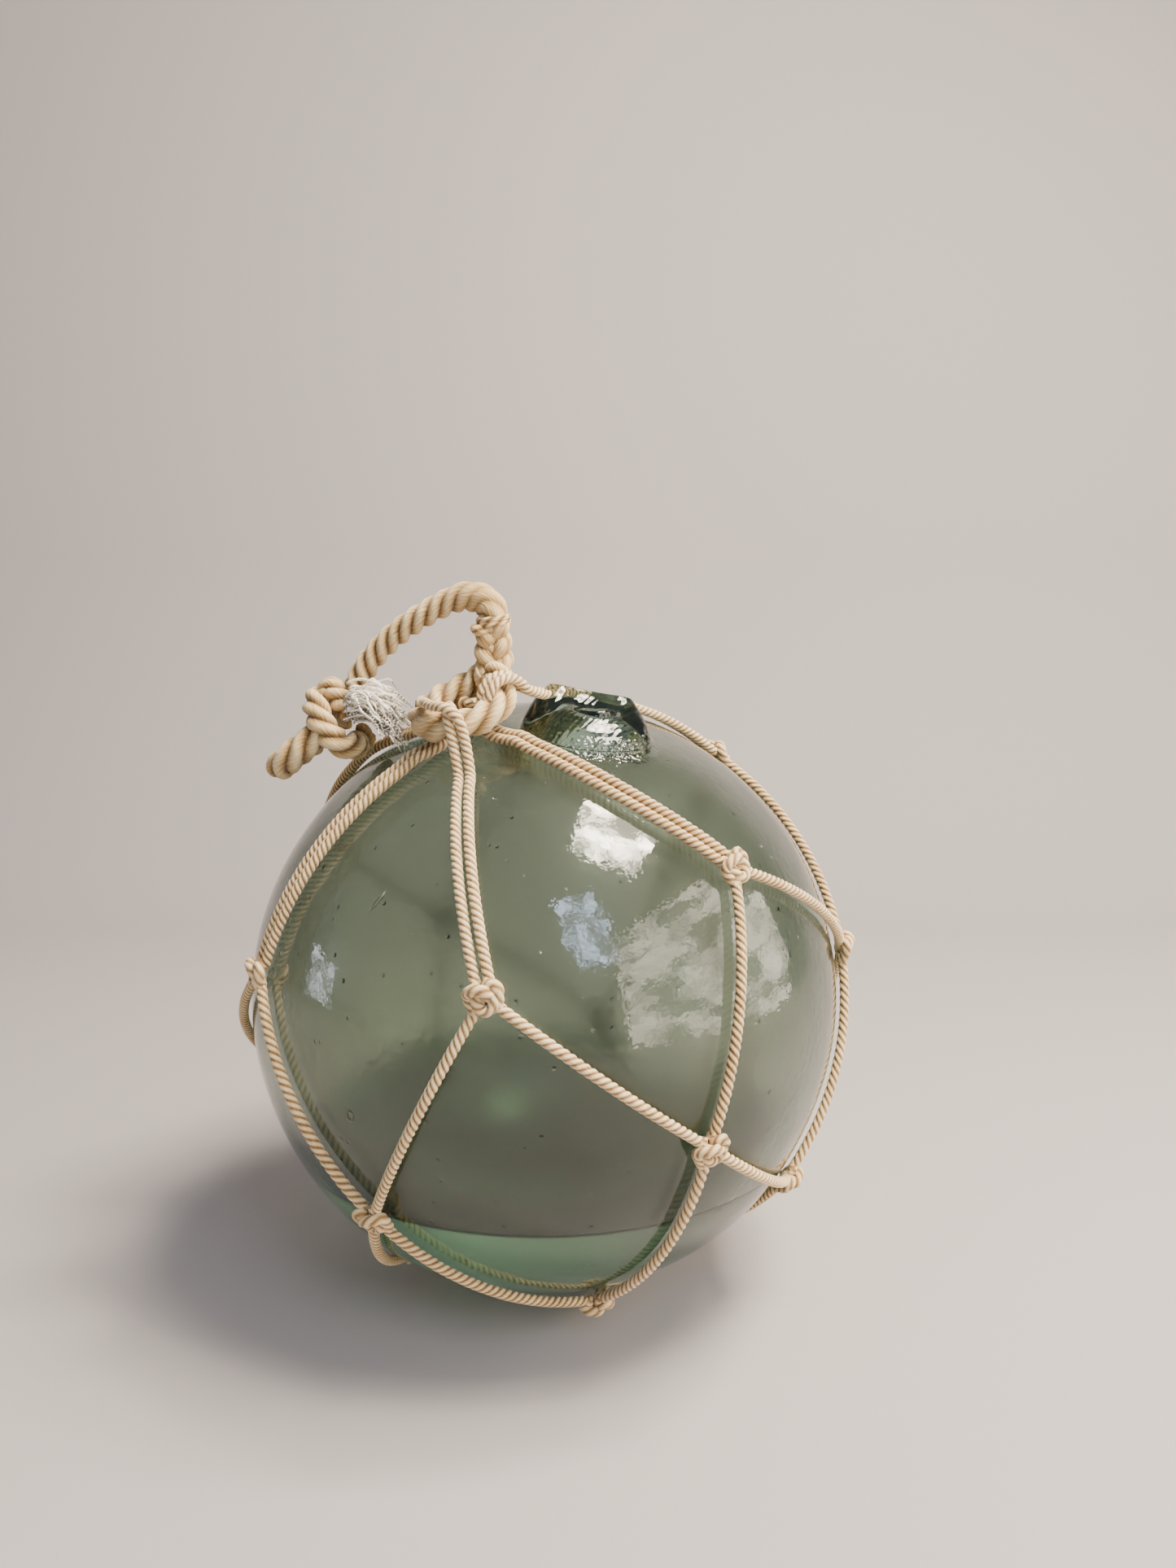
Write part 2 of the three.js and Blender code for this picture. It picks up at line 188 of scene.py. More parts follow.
def made_piece(name, parts, material, tints=None):
    """One object from several closed surfaces given in mm about the ball's centre."""
    offsets = np.concatenate([[0], np.cumsum([len(part["verts"]) for part in parts])])[:-1]
    verts = (np.vstack([part["verts"] for part in parts]) + BALL_CENTRE) * 0.001
    quads = np.vstack([part["quads"] + shift for part, shift in zip(parts, offsets)])
    tris = np.vstack([part["tris"] + shift for part, shift in zip(parts, offsets)])
    mesh = bpy.data.meshes.new(name)
    mesh.from_pydata(verts.tolist(), [], quads.tolist() + tris.tolist())
    mesh.polygons.foreach_set("use_smooth", np.ones(len(mesh.polygons), bool))
    uv = np.vstack([part["uv"] for part in parts] + [np.zeros((3 * len(tris), 2))]) * 0.001
    mesh.uv_layers.new(name="fibre").data.foreach_set("uv", uv.astype(np.float32).ravel())
    depth = np.concatenate([part["depth"] for part in parts])
    mesh.attributes.new("depth", "FLOAT", "POINT").data.foreach_set("value", depth.astype(np.float32))
    tint = np.concatenate([np.full(len(part["verts"]), 0.5 if tints is None else tints[n])
                           for n, part in enumerate(parts)])
    mesh.attributes.new("tint", "FLOAT", "POINT").data.foreach_set("value", tint.astype(np.float32))
    mesh.materials.append(material)
    piece = bpy.data.objects.new(name, mesh)
    bpy.context.scene.collection.objects.link(piece)
    return piece


def linear(hex_colour):
    """Linear RGBA of an sRGB hex colour: each channel is ((c + 0.055) / 1.055) ^ 2.4, or c / 12.92."""
    c = np.array([int(hex_colour[k:k + 2], 16) for k in (1, 3, 5)]) / 255
    return (*np.where(c <= 0.04045, c / 12.92, ((c + 0.055) / 1.055) ** 2.4).tolist(), 1.0)


def add_node(material, kind, settings=None, **inputs):
    """A shader node with its settings and its inputs: a value, or the output that feeds the input.

    An input is named by its label, with _ for a space, or as i0, i1 by its place.
    """
    node = material.node_tree.nodes.new(kind)
    for name, value in (settings or {}).items():
        setattr(node, name, value)
    for name, value in inputs.items():
        numbered = name[0] == "i" and name[1:].isdigit()
        socket = node.inputs[int(name[1:]) if numbered else name.replace("_", " ")]
        if isinstance(value, bpy.types.NodeSocket):
            material.node_tree.links.new(value, socket)
        else:
            socket.default_value = value
    return node


def ramp(material, factor, stops):
    """A colour ramp through (place, hex colour) stops."""
    node = add_node(material, "ShaderNodeValToRGB", Fac=factor)
    while len(node.color_ramp.elements) < len(stops):
        node.color_ramp.elements.new(0.5)
    for element, (place, colour) in zip(node.color_ramp.elements, stops):
        element.position = place
        element.color = linear(colour)
    return node.outputs["Color"]


def new_material(name):
    """An empty node material with its surface output linked to a Principled shader."""
    material = bpy.data.materials.new(name)
    material.use_nodes = True
    nodes = material.node_tree.nodes
    return material, nodes["Principled BSDF"], nodes["Material Output"]


def spun_cotton(name, shades, fibre_width, hairiness, groove_shade_easing):
    """Cotton yarn: painted shade that browns the grooves and leaves the crowns pale, and fine lengthwise
    fibres.

    The fibres are of a width in m and eleven times as long, and the patches are 5 mm across.
    """
    material, shader, _ = new_material(name)
    link = material.node_tree.links.new
    fibre = add_node(material, "ShaderNodeUVMap", {"uv_map": "fibre"}).outputs["UV"]
    place = add_node(material, "ShaderNodeTexCoord").outputs["Object"]
    depth = add_node(material, "ShaderNodeAttribute", {"attribute_name": "depth"}).outputs["Fac"]
    tint = add_node(material, "ShaderNodeAttribute", {"attribute_name": "tint"}).outputs["Fac"]
    slant = add_node(material, "ShaderNodeMapping", Vector=fibre, Rotation=(0.0, 0.0, math.radians(8)),
                     Scale=(0.09 / fibre_width, 1.0 / fibre_width, 1.0)).outputs["Vector"]
    fine = add_node(material, "ShaderNodeTexNoise", Vector=slant, Scale=1.0, Detail=3.0,
                    Roughness=0.6).outputs["Fac"]
    patch = add_node(material, "ShaderNodeTexNoise", Vector=place, Scale=180.0, Detail=2.0).outputs["Fac"]
    # Painted shade: the depth darkens the grooves and lightens the crowns, and a share of even tone softens
    # it; the fibres, patches and each piece's tint are the cotton's own tone.
    shade = groove_shade_easing * 0.4
    for part, weight in ((depth, 1.0 - groove_shade_easing), (fine, 0.95), (patch, 0.35), (tint, 0.3)):
        shade = add_node(material, "ShaderNodeMath", {"operation": "MULTIPLY_ADD"},
                         i0=part, i1=weight, i2=shade).outputs[0]
    spread = add_node(material, "ShaderNodeMath", {"operation": "MULTIPLY_ADD"}, i0=shade, i1=0.72, i2=-0.44)
    link(ramp(material, spread.outputs[0], shades), shader.inputs["Base Color"])
    bump = add_node(material, "ShaderNodeBump", Strength=hairiness, Distance=fibre_width, Height=fine)
    link(bump.outputs["Normal"], shader.inputs["Normal"])
    shader.inputs["Roughness"].default_value = 0.86
    shader.inputs["Specular IOR Level"].default_value = 0.3
    shader.inputs["Sheen Weight"].default_value = 0.25
    shader.inputs["Sheen Roughness"].default_value = 0.5
    return material


# Straw-coloured cotton, with painted shade that leaves the crowns pale and browns the grooves, and fibres of
# 0.45 mm that show.
rope_cotton = spun_cotton(
    "three_strand_cotton_rope",
    [(0.0, "#412c16"), (0.3, "#86673b"), (0.6, "#c8a872"), (1.0, "#f7e9c2")],
    0.00045, 0.9, 0.25,
)

eye_up = direction(*EYE_DIRECTION)
eye_centre = eye_up * EYE_DISTANCE
eye_right = unit(np.array([1.0, 0.0, 0.0]) - eye_up[0] * eye_up)
eye_away = np.cross(eye_up, eye_right)
splice_foot = eye_centre + np.array(SPLICE_FOOT)
splice_top = splice_foot + np.array([0.0, 0.0, SPLICE_LENGTH])
handle_points = [splice_top - (0, 0, 1.5), splice_top + (0, 0, 0.3), splice_top + (0, 0, 1.4)]
handle_points += [eye_centre + np.array(p) for p in HANDLE_ROUTE + KNOT_STANDING]
handle_path = smooth(handle_points, ROPE_STEP)
worn = worn_stretch(handle_path, 0.13, 0.11)
rope_handle = made_piece("rope_handle_strands", [laid_cord(
    handle_path, np.array([0.0, 1.0, 0.12]), DRAWN_RADIUS * (1.0 + 0.24 * worn), HANDLE_LAY,
    columns=ROPE_COLUMNS, wear=WORN_SHARE * worn, start=0.6, yarns=ROPE_YARN,
)], rope_cotton)
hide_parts("rope_handle")
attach(rope_handle, "root")


# The eye of the rope lies on the ball, strung through the legs of the net. Its far side bends hard on
# the left, where the fibres have felted into a soft bulge.
EYE_ROUTE = [
    (0.86, 1.24, 0.55), (0.4, 1.38, 0.25), (-0.3, 1.26, 0.1), (-1.0, 0.82, 0.03), (-1.4, 0.1, 0.0),
    (-1.2, -0.7, -0.03), (-0.55, -1.24, -0.05), (0.28, -1.35, -0.04), (1.0, -0.98, 0.03),
    (1.38, -0.3, 0.13), (1.34, 0.42, 0.32), (1.1, 1.0, 0.6),
]
eye_points = [
    eye_centre + (right * eye_right + away * eye_away + up * eye_up) * 2 * ROPE_RADIUS
    for right, away, up in EYE_ROUTE
]
eye_path = smooth(eye_points, ROPE_STEP)
felted = worn_stretch(eye_path, 0.47, 0.07)
eye_strands = laid_cord(eye_path, eye_up, ROPE_RADIUS * (1.0 + 0.1 * felted), EYE_LAY, columns=ROPE_COLUMNS,
                        wear=WORN_SHARE * felted, start=1.1, yarns=1.15)
rope_eye = made_piece("rope_eye_strands", [eye_strands], rope_cotton)
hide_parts("rope_eye")
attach(rope_eye, "root")


# The splice: the ends of the eye are unlaid and plaited up the standing rope, and a few turns of yarn
# bind the top, where the cut end of a strand sticks out.
PLAIT_WIDTH = 2.7
PLAIT_DEPTH = 1.9
PLAIT_STRAND = 2.15
PLAIT_CYCLES = 1.25
PLAIT_LAY = 16.0
PLAIT_YARN = 0.9
CORE_RADIUS = 3.1
CORE_LAY = 13.2
BINDING_TURNS = 2.2
BINDING_REACH = 3.45
BINDING_RADIUS = 0.8
BINDING_LAY = 5.0
STUB_ROUTE = [(-0.5, -1.6, -3.6), (-2.6, -2.4, -2.9), (-4.2, -2.6, -2.2), (-5.1, -2.5, -1.9)]


def plaited(foot, height, turn):
    """Path of one strand of a plait: it swings from side to side and crosses over twice as often."""
    t = np.linspace(0.0, 1.0, 60)
    swing = 2 * np.pi * PLAIT_CYCLES * t + turn
    taper = 1 - 0.3 * t**3
    return np.stack([
        foot[0] + PLAIT_WIDTH * taper * np.sin(swing),
        foot[1] - PLAIT_DEPTH * taper * np.sin(2 * swing),
        foot[2] + height * t,
    ], axis=1)


strands = [
    laid_cord(evenly(plaited(splice_foot, SPLICE_LENGTH, turn), 0.5), np.array([0.3, 1.0, 0.0]),
              PLAIT_STRAND, PLAIT_LAY, columns=36, fullness=0.7, wear=0.5, yarns=PLAIT_YARN)
    for turn in (0.4, 0.4 + 2 * np.pi / 3, 0.4 + 4 * np.pi / 3)
]
core = laid_cord(evenly(np.array([splice_foot - (0, 0, 1.5), splice_top - (0, 0, 0.6)]), 0.6),
                 np.array([0.0, 1.0, 0.0]), CORE_RADIUS, CORE_LAY, start=2.0)
wrap_turn = np.linspace(0.0, 2 * np.pi * BINDING_TURNS, 100)
binding = np.stack([
    splice_top[0] + BINDING_REACH * np.cos(wrap_turn), splice_top[1] + BINDING_REACH * np.sin(wrap_turn),
    splice_top[2] - 1.6 + 0.16 * wrap_turn + 0.35 * np.sin(wrap_turn + 0.5),
], axis=1)
binding_yarn = laid_cord(evenly(binding, 0.4), np.array([0.05, 0.1, 1.0]), BINDING_RADIUS, BINDING_LAY,
                         strands=2, columns=12, fullness=0.8)
stub_path = smooth([splice_top + np.array(p) for p in STUB_ROUTE], 0.4)
stub_radius = np.interp(np.linspace(0, 1, len(stub_path)), [0, 0.6, 0.9, 1], [1.5, 1.5, 1.2, 0.5])
stub = laid_cord(stub_path, np.array([0.0, 0.3, 1.0]), stub_radius, 7.0, columns=18, fullness=0.6, wear=0.3)
splice = made_piece("rope_splice", [*strands, core, binding_yarn, stub], rope_cotton,
                    [0.62, 0.5, 0.55, 0.35, 0.5, 0.4])
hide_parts("rope_eye")
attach(splice, "root")


# The end knot: the rope leaves a loop out to the side, turns round itself and the standing part, and
# is tucked under. The end past the tuck is unlaid, and its clean inner yarns spring open in a tuft.
KNOT_LOOP = [
    (-30.9, 18.8, -0.3), (-33.6, 21.4, -4.9), (-38.3, 23.6, -8.7), (-43.7, 22.0, -12.8), (-47.5, 17.6, -16.1),
    (-44.9, 13.0, -14.1), (-39.3, 11.6, -9.7), (-33.5, 12.4, -6.1),
]
KNOT_TURN = [
    (-36.7, 21.6, 1.3), (-37.7, 15.4, -0.1), (-35.7, 10.6, -4.7), (-31.7, 10.0, -9.3),
    (-27.9, 14.6, -10.7), (-27.3, 20.0, -8.5),
]
KNOT_TUCK = [(-37.0, 21.8, 0.5), (-35.3, 20.0, 2.9), (-32.3, 16.0, 0.9), (-28.9, 13.6, -1.9)]
TUFT_ROOT = (-28.9, 12.6, -0.5)
TUFT_YARNS = 260
TUFT_REACH = 17.5
TUFT_SLANT = (1.0, 0.0, 0.42)
TUFT_SPREAD = (0.2, 0.3, 0.2)
TUFT_CURL = 0.6
TUFT_DROOP = 0.48
TUFT_YARN_RADIUS = 0.4
TUFT_YARN_LAY = 2.6
knot_lengths = [
    laid_cord(smooth([eye_centre + np.array(p) for p in route], ROPE_STEP), np.array(up), radius, KNOT_LAY,
              columns=ROPE_COLUMNS, start=phase, yarns=ROPE_YARN)
    for route, up, radius, phase in (
        (KNOT_LOOP, (0.5, 0.1, 1.0), 3.6, 0.3),
        (KNOT_TURN, (0.2, 1.0, 0.1), 3.4, 1.7),
        (KNOT_TUCK, (0.3, 1.0, 0.2), 3.3, 2.4),
    )
]
end_knot = made_piece("rope_end_knot_strands", knot_lengths, rope_cotton, [0.45, 0.35, 0.4])
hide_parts("rope_end_knot")
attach(end_knot, "root")

rng = np.random.default_rng(11)


def sprung_yarns(root):
    """Yarns that spring from a root, curl and droop.

    Each runs along its own slant for a length L: it holds back by 0.45 b L t^3, swings by
    0.6 b L t sin(2.2 t) to a side of its own and sinks by TUFT_DROOP L t^2, where b is its share of
    TUFT_CURL. None of it goes into the ball.
    """
    t = np.linspace(0.0, 1.0, 20)[:, None]
    yarns = []
    for _ in range(TUFT_YARNS):
        slant = unit(np.array(TUFT_SLANT) + rng.normal(size=3) * TUFT_SPREAD)
        side = unit(np.cross(slant, rng.normal(size=3)))
        length = TUFT_REACH * rng.uniform(0.65, 1.0)
        bend = TUFT_CURL * rng.uniform(0.3, 1.0)
        path = root + rng.normal(size=3) * (0.7, 1.0, 1.4)
        path = path + length * (slant * (t - 0.45 * bend * t**3) + side * bend * 0.6 * np.sin(2.2 * t) * t)
        path = path - length * np.array([0.0, 0.0, TUFT_DROOP]) * t**2
        path = path + 0.5 * t * np.cross(slant, side) * np.sin(rng.uniform(9, 15) * t + rng.uniform(0, 6))
        clear = BALL_RADIUS + 2 * TUFT_YARN_RADIUS
        path = path * np.maximum(1.0, clear / np.linalg.norm(path, axis=1, keepdims=True))
        size = TUFT_YARN_RADIUS * np.interp(t[:, 0], [0, 0.85, 1], [1.0, 0.9, 0.35])
        yarns.append(laid_cord(path, slant + side * 2.2, size, TUFT_YARN_LAY, strands=2, columns=5,
                               fullness=0.8, wear=0.4))
    return yarns


# The inside of the rope has seen no weather: nearly white, and shaded only between the yarns.
bleached_yarn = spun_cotton(
    "bleached_inner_yarn",
    [(0.0, "#a58a62"), (0.25, "#e8d8b8"), (0.5, "#fff7e6"), (1.0, "#ffffff")],
    0.0002, 0.5, 0.25,
)
tuft_parts = sprung_yarns(eye_centre + np.array(TUFT_ROOT))
tuft = made_piece("frayed_tuft", tuft_parts, bleached_yarn, rng.uniform(0.3, 0.9, len(tuft_parts)))
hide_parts("rope_end_knot")
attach(tuft, "root")


# The net is tied of three-strand cotton twine, 2.6 mm thick, in three rows of six knots about an axis
# that leans to the front left. The cords lie tight on the glass, and each knot sits a little off its
# regular place because it was tied by hand.
TWINE_RADIUS = 1.3
TWINE_STEP = 0.45
LEG_LAY = 4.6
KNOT_TWINE_LAY = 6.2
CORD_CENTRE = 77.05
FLOOR = -76.4
COLUMNS = 6
NET_DIRECTION = (-46.3, 69.5)
NET_TURN = -46.6
ROW_POLAR = {"upper": 58.9, "middle": 95.4, "lower": 132.1}
DRIFT = {
    "upper": [(-0.3, 1.3), (-0.6, -2.5), (0.0, 0.0), (1.2, 2.0), (-1.0, -1.5), (-0.7, 2.5)],
    "middle": [(-0.7, -1.0), (-2.0, -2.4), (1.0, 1.5), (-1.2, 0.0), (0.8, -2.0), (0.2, 0.4)],
    "lower": [(2.4, 0.0), (-3.0, -3.0), (0.5, 1.0), (-0.8, -1.2), (1.0, 0.0), (0.4, 0.8)],
}
RING_POLAR = 170.0
RING_TURN = 6.0
net_axis = direction(*NET_DIRECTION)
net_side = unit(np.cross((0.0, 0.0, 1.0), net_axis))
net_back = np.cross(net_axis, net_side)


def net_place(polar, turn):
    """Direction at an angle off the net's axis and a turn about it, in degrees."""
    p, q = np.radians(polar), np.radians(turn)
    return np.cos(p) * net_axis + np.sin(p) * (np.cos(q) * net_side + np.sin(q) * net_back)


def row_of_knots(row, shift):
    """Directions of the six knots of a row."""
    return [
        net_place(ROW_POLAR[row] + polar, NET_TURN + (column + shift) * 360 / COLUMNS + turn)
        for column, (polar, turn) in enumerate(DRIFT[row])
    ]


def tight(start, end, count=60):
    """Directions on the shortest way over the ball: sin((1-t) a) start + sin(t a) end, over sin a."""
    a = np.arccos(np.clip(start @ end, -1, 1))
    t = np.linspace(0.0, 1.0, count)[:, None]
    return (np.sin((1 - t) * a) * start + np.sin(t * a) * end) / np.sin(a)


def on_floor(part):
    """Twine under the ball is pressed flat: nothing of it reaches below the floor."""
    part["verts"][:, 2] = np.maximum(part["verts"][:, 2], FLOOR)
    return part


def twine(path, lay, radius=TWINE_RADIUS, wear=0.0, start=0.0, up=None):
    """A length of twine along a path near the ball."""
    return on_floor(laid_cord(path, unit(path) if up is None else up, radius, lay, columns=21,
                              fullness=0.66, wear=wear, start=start))


# The twine is a shade paler and finer than the rope, with fibres of 0.22 mm.
net_twine = spun_cotton(
    "three_strand_cotton_twine",
    [(0.0, "#4a3219"), (0.3, "#94734a"), (0.6, "#d2b482"), (1.0, "#fbedcc")],
    0.00022, 0.6, 0.25,
)
upper, middle, lower = row_of_knots("upper", 0.0), row_of_knots("middle", 0.5), row_of_knots("lower", 0.0)
ring_radius = CORD_CENTRE * np.sin(np.radians(180 - RING_POLAR))
gather = np.degrees(0.6 * 2 * TWINE_RADIUS / ring_radius)
ring_start = NET_TURN + RING_TURN + 180 / COLUMNS
sides = []
for column in range(COLUMNS):
    before = (column - 1) % COLUMNS
    for start, end in (
        (upper[column], middle[column]), (upper[column], middle[before]),
        (lower[column], middle[column]), (lower[column], middle[before]),
        (lower[column], net_place(RING_POLAR, ring_start + column * 360 / COLUMNS - gather)),
        (lower[column], net_place(RING_POLAR, ring_start + before * 360 / COLUMNS + gather)),
    ):
        way = tight(start, end)
        t = np.linspace(0.0, 1.0, len(way))[:, None]
        aside = unit(np.cross(start, end)) * rng.normal() * 0.35 * np.sin(np.pi * t)
        path = evenly(way * CORD_CENTRE + aside, TWINE_STEP)
        sides.append(twine(path, rng.uniform(4.5, 6.2), TWINE_RADIUS * rng.uniform(0.92, 1.0),
                           start=rng.uniform(0, 6)))
net_meshes = made_piece("net_meshes", sides, net_twine, rng.uniform(0.2, 0.8, len(sides)))
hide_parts("net")
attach(net_meshes, "root")


# Each leg is a long bight of twine that goes from an upper knot to the rope's eye. The front one lies
# over the rope, and its bight turns off along the crown. The third goes behind the seal to the throat,
# and the others pass under the rope and stand up in the hole of the eye.
KNOT_INSET = 2.3
LEG_SPREAD = 2.75
THROAT_PLACE = 0.87
SEAL_DIRECTION = (25.0, 70.4)
SEAL_RADIUS = 14.6
FRONT_LEG = [
    (1.35, -0.4, 1.0), (1.02, 0.3, 1.0), (0.86, 0.8, 0.8), (0.62, 1.18, -0.1), (0.42, 1.32, -1.3),
    (0.1, 1.27, -2.6), (-0.3, 1.18, -3.9), (-0.8, 1.08, -5.0), (-1.35, 0.75, -5.5), (-1.75, 0.2, -5.0),
    (-1.7, -0.3, -3.6), (-1.3, -0.3, -2.2), (-0.95, 0.3, -1.2), (-0.3, 0.93, -1.0), (0.45, 0.93, -1.0),
    (0.98, 0.3, -1.0), (1.35, -0.4, -1.0),
]
HIDDEN_LEG = [
    (1.2, -0.95, 1), (0.5, -1.0, 1), (-0.4, -0.95, 1), (-0.85, -0.7, 0.8), (-0.95, -0.4, 0),
    (-0.85, -0.7, -0.8), (-0.4, -0.95, -1), (0.5, -1.0, -1), (1.2, -0.95, -1),
]
THROAT_LEG = [
    (1.3, 0.02, 1), (0.98, 0.5, 1), (0.45, 0.95, 1), (-0.25, 1.03, 1), (-0.85, 0.65, 0.9), (-1.08, 0.0, 0.6),
    (-0.95, -0.6, 0), (-1.08, 0.0, -0.6), (-0.85, 0.65, -0.9), (-0.25, 1.03, -1), (0.45, 0.95, -1),
    (0.98, 0.5, -1), (1.3, 0.02, -1),
]
seal_up = direction(*SEAL_DIRECTION)
eye_middle = eye_path[8:-8]


def over_eye(loop, toward, place=None):
    """Points of a leg's bight in the rope's cross section: outwards, up off the ball and to the side.

    It stands where the rope crosses the line that leaves the eye's centre in a direction, or at a share
    of the way round the eye.
    """
    off = eye_middle - eye_centre
    aside = np.abs(off @ np.cross(eye_up, toward)) + 50.0 * (off @ toward < 0)
    step = int(np.argmin(aside)) if place is None else int(place * len(eye_middle))
    centre = eye_middle[step]
    up = unit(centre)
    out = unit(toward - (toward @ up) * up)
    side = np.cross(up, out)
    reach = ROPE_RADIUS + 0.1 + TWINE_RADIUS
    low = (np.linalg.norm(centre) - CORD_CENTRE) / reach
    points = np.array(loop, float)
    points[:, 1] = np.where(points[:, 1] < -0.9, points[:, 1] * low, points[:, 1])
    return centre + points @ np.array([reach * out, reach * up, LEG_SPREAD / 2 * side])


def leg(knot, style, sag):
    """One leg: from its knot along the ball to the eye, round its bight and back beside itself.

    It sags to one side of the shortest way by sag sin(pi t), in mm.
    """
    toward = unit(knot - (knot @ eye_up) * eye_up)
    past = []
    if style == "throat":
        behind = unit(np.array([0.1, 1.0, 0.0]) - seal_up * (seal_up @ (0.1, 1.0, 0.0)))
        for hand in (1, -1):
            clear = (SEAL_RADIUS + (2.3 + 0.6 * hand) * 2 * TWINE_RADIUS) / 75.0
            past.append(seal_up * np.cos(clear) + behind * np.sin(clear))
        toward = unit(past[0] - (past[0] @ eye_up) * eye_up)
        points = over_eye(THROAT_LEG, toward, THROAT_PLACE)
    elif style == "front":
        points = over_eye(FRONT_LEG, toward)
    else:
        toward = unit(toward + 0.04 * sag * unit(np.cross(knot, eye_up)))
        points = over_eye(HIDDEN_LEG, toward)
    across = points[0] - points[-1]
    across = unit(across - (across @ knot) * knot)
    ways = []
    for n, end in enumerate((points[0], points[-1])):
        start = knot + (0.5 - n) * across * LEG_SPREAD / 75.0
        foot = past[n] if past else unit(end)
        start = unit(start + unit(foot - (foot @ knot) * knot) * KNOT_INSET / 75.0)
        t = np.linspace(0.0, 1.0, 14)[:, None]
        way = tight(start, foot, 14) * CORD_CENTRE + sag * np.sin(np.pi * t) * unit(np.cross(start, foot))
        ways.append(unit(way)[: None if past else -1] * CORD_CENTRE)
    return smooth([*ways[0], *points, *ways[1][::-1]], TWINE_STEP)


legs = [
    twine(leg(knot, style, sag), LEG_LAY, 0.94 * TWINE_RADIUS, start=rng.uniform(0, 6))
    for knot, (style, sag) in zip(upper, (
        ("front", 0.9), ("hidden", 3.0), ("throat", 0.0), ("hidden", 0.0), ("hidden", 0.0), ("hidden", 0.0),
    ))
]
net_legs = made_piece("net_legs", legs, net_twine, [0.75, 0.4, 0.65, 0.3, 0.15, 0.5])
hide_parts("net")
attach(net_legs, "root")


# A netting knot is a sheet bend: one turn of twine is drawn tight round the bight that hangs from the
# row above, and the bight shows as a second lump. Under the ball a ring of twine gathers the net.
BIGHT = [
    (-1.3, 3.4, 0.2), (-1.6, 1.0, 0.9), (-1.9, -1.4, 1.3), (-0.6, -3.1, 1.1), (1.3, -2.8, 1.2),
    (2.1, -0.8, 1.6), (1.6, 1.4, 0.8), (1.1, 3.4, 0.2),
]
TURN = [
    (-2.6, -3.6, 0.0), (-3.1, -1.2, 0.3), (-3.4, 0.9, 0.9), (-2.2, 1.7, 2.3), (0.2, 1.2, 2.9),
    (1.4, 0.0, 1.9), (1.7, -1.5, 0.5),
]
LUMP = [
    (0.9, 0.3, 0.7), (1.3, 2.0, 1.6), (2.7, 2.1, 1.9), (3.4, 0.6, 1.6), (2.9, -1.2, 1.1), (2.2, -3.2, 0.1),
]
KNOT_SCALE = 0.94


def netting_knot(up, flip):
    """The three lengths of twine that show in a knot, stood on its direction with +y to the net's top."""
    top = unit(net_axis - (net_axis @ up) * up)
    right = np.cross(top, up)
    lengths = []
    for route, thick in ((BIGHT, 0.92), (TURN, 1.0), (LUMP, 0.98)):
        points = [
            up * (CORD_CENTRE + z - 0.3) + right * x * flip * KNOT_SCALE + top * y * KNOT_SCALE
            for x, y, z in route
        ]
        radius = TWINE_RADIUS * thick * rng.uniform(0.96, 1.04)
        lengths.append(twine(smooth(points, 0.42), KNOT_TWINE_LAY, radius, wear=0.1, start=rng.uniform(0, 6),
                             up=up + 0.25 * top))
    return lengths


knots = [length for n, up in enumerate(upper + middle + lower)
         for length in netting_knot(up, 1 if n < 6 else rng.choice((-1, 1)))]
ring_turn = np.linspace(0.0, 2 * np.pi, 120, endpoint=False)
ring_path = np.stack([net_place(RING_POLAR, np.degrees(w)) for w in ring_turn]) * CORD_CENTRE
knots.append(twine(evenly(np.vstack([ring_path, ring_path[:3]]), TWINE_STEP), 6.0))
net_knots = made_piece("net_knots", knots, net_twine, rng.uniform(0.3, 0.7, len(knots)))
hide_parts("net")
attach(net_knots, "root")


# The float is blown of pale sea-green bottle glass: a ball of 150 mm with a wall of about 4 mm, which
# is wavy inside and out. The blowing hole is closed with a gob of hot glass that was pressed flat, so
# that it has a rolled rim, a sunken middle and, at the back, a broken edge.
WALL = 4.0
SEAL_HEIGHT = 6.4
SEAL_CREST = 3.1
# The seal's section: shares of its radius and height, from its middle out, then along its sunken front.
SEAL_PROFILE = [
    (0.0, 0.55), (0.14, 0.55), (0.3, 0.6), (0.44, 0.72), (0.56, 0.9), (0.68, 1.0), (0.79, 0.98), (0.89, 0.82),
    (0.96, 0.5), (1.0, 0.12), (1.005, -0.05),
]
SEAL_FRONT = [0.55, 0.62, 0.74, 0.71, 0.58, 0.4, 0.18, -0.1]
# Planes that cut the broken edge: the way they face (right, back), their height in mm and their slope.
CHIPS = [(-0.35, 0.9, 9.1, 0.3), (0.45, 0.85, 8.8, 0.36), (0.95, 0.2, 9.6, 0.45), (0.1, 1.0, 8.3, 0.55)]
# Bubbles in the glass: bearing, elevation, half length and half width in mm, and lean from the level.
BUBBLES = [
    (-31.4, 29.1, 2.6, 0.7, 62.0), (-26.2, 61.5, 0.9, 0.6, 10.0), (-32.3, -6.6, 1.5, 1.2, 80.0),
    (-12.0, 52.0, 0.5, 0.4, 0.0), (-8.8, 20.0, 0.6, 0.4, 30.0), (14.0, -12.0, 0.7, 0.5, 0.0),
]
seal_right = unit(np.array([1.0, 0.0, 0.0]) - seal_up[0] * seal_up)
seal_back = np.cross(seal_up, seal_right)
wave_turns = rng.normal(size=(14, 3))
wave_turns = unit(wave_turns) * rng.uniform(4.0, 13.0, (14, 1))
wave_starts = rng.uniform(0, 2 * np.pi, 14)


def waves(directions, size):
    """Gentle unevenness of blown glass: the sum of fourteen sine waves across the ball."""
    return size * np.sin(directions @ wave_turns.T + wave_starts).sum(-1) / np.sqrt(14)


